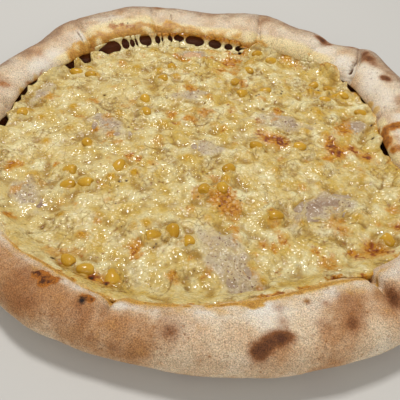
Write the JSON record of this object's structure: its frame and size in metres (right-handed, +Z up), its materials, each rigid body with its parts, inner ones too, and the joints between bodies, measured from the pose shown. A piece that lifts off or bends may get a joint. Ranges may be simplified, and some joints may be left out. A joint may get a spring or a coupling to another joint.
{
  "type": "stuffed crust pizza",
  "caption": "Whole baked pizza with a puffy rolled rim, melted cheese, sweetcorn kernels and ham slices, resting flat on its base.",
  "frame": {"origin": "middle of the flat underside, at the centre of the round outline", "axes": "+Z up through the toppings, +Y towards the side where the rim stands clear of the cheese on strings, +X to the right of that"},
  "size_m": [0.3293, 0.3269, 0.0294],
  "materials": {
    "baked_dough": "matt, floured",
    "tomato_sauce": "wet",
    "melted_cheese": "oily sheen",
    "sweetcorn": "moist",
    "cooked_ham": "moist"
  },
  "bodies": {
    "root": {"crust": "baked_dough", "tomato_sauce": "tomato_sauce", "melted_cheese": "melted_cheese", "corn_kernel_01": "sweetcorn", "corn_kernel_02": "sweetcorn", "corn_kernel_03": "sweetcorn", "corn_kernel_04": "sweetcorn", "corn_kernel_05": "sweetcorn", "corn_kernel_06": "sweetcorn", "corn_kernel_07": "sweetcorn", "corn_kernel_08": "sweetcorn", "corn_kernel_09": "sweetcorn", "corn_kernel_10": "sweetcorn", "corn_kernel_11": "sweetcorn", "corn_kernel_12": "sweetcorn", "corn_kernel_13": "sweetcorn", "corn_kernel_14": "sweetcorn", "corn_kernel_15": "sweetcorn", "corn_kernel_16": "sweetcorn", "corn_kernel_17": "sweetcorn", "corn_kernel_18": "sweetcorn", "corn_kernel_19": "sweetcorn", "corn_kernel_20": "sweetcorn", "corn_kernel_21": "sweetcorn", "corn_kernel_22": "sweetcorn", "corn_kernel_23": "sweetcorn", "corn_kernel_24": "sweetcorn", "corn_kernel_25": "sweetcorn", "corn_kernel_26": "sweetcorn", "corn_kernel_27": "sweetcorn", "corn_kernel_28": "sweetcorn", "corn_kernel_29": "sweetcorn", "corn_kernel_30": "sweetcorn", "corn_kernel_31": "sweetcorn", "corn_kernel_32": "sweetcorn", "corn_kernel_33": "sweetcorn", "corn_kernel_34": "sweetcorn", "corn_kernel_35": "sweetcorn", "corn_kernel_36": "sweetcorn", "ham_slice_01": "cooked_ham", "ham_slice_02": "cooked_ham", "ham_slice_03": "cooked_ham", "ham_slice_04": "cooked_ham", "ham_slice_05": "cooked_ham", "ham_slice_06": "cooked_ham", "ham_slice_07": "cooked_ham", "ham_slice_08": "cooked_ham", "ham_slice_09": "cooked_ham", "ham_slice_10": "cooked_ham"}
  },
  "joints": []
}
